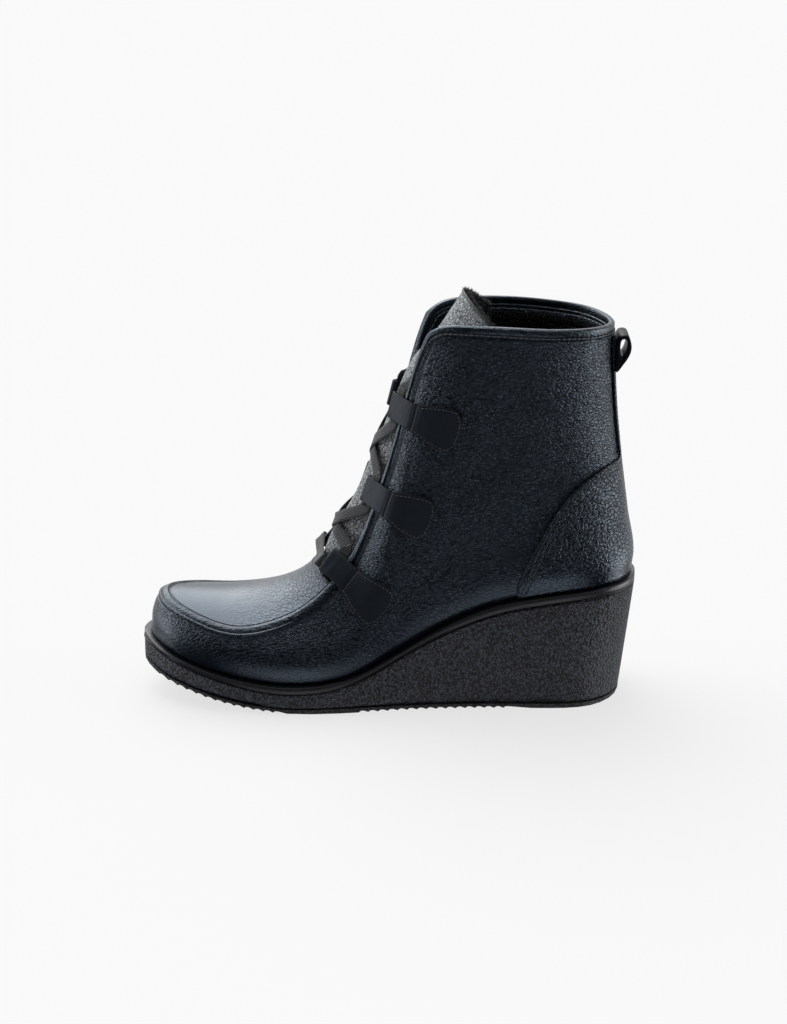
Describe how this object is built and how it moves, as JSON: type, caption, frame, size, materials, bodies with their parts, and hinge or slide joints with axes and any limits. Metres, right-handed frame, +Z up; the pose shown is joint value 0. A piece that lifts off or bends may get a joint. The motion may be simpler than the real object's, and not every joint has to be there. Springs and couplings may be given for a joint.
{
  "type": "wedge ankle boot",
  "caption": "Lace-up wedge ankle boot in pebbled leather with a moc-toe apron, strap lace loops, a heel counter and a crumb rubber wedge sole, left foot.",
  "frame": {"origin": "on the floor under the middle of the heel seat, where the heel rests", "axes": "+Z up, -X towards the toe, -Y towards the outer (lateral) side of a left boot"},
  "size_m": [0.257, 0.0882, 0.2133],
  "materials": {
    "pebbled_leather": "fine pebble grain, semi-matte",
    "smooth_leather": "smooth, semi-matte",
    "woven_lace": "flat woven tape",
    "fleece": "short pile",
    "rand_rubber": "smooth, satin",
    "crumb_rubber": "crumb texture, matte",
    "tread_rubber": "matte"
  },
  "bodies": {
    "root": {"upper": "pebbled_leather", "counter": "pebbled_leather", "backstay": "pebbled_leather", "tongue": "pebbled_leather", "pull_loop": "smooth_leather", "lace_loop_lateral_low": "smooth_leather", "lace_loop_lateral_mid": "smooth_leather", "lace_loop_lateral_top": "smooth_leather", "lace_loop_medial_low": "smooth_leather", "lace_loop_medial_mid": "smooth_leather", "lace_loop_medial_top": "smooth_leather", "lace": "woven_lace", "lace_bar": "woven_lace", "insole": "fleece", "rand": "rand_rubber", "wedge": "crumb_rubber", "outsole": "tread_rubber"}
  },
  "joints": []
}
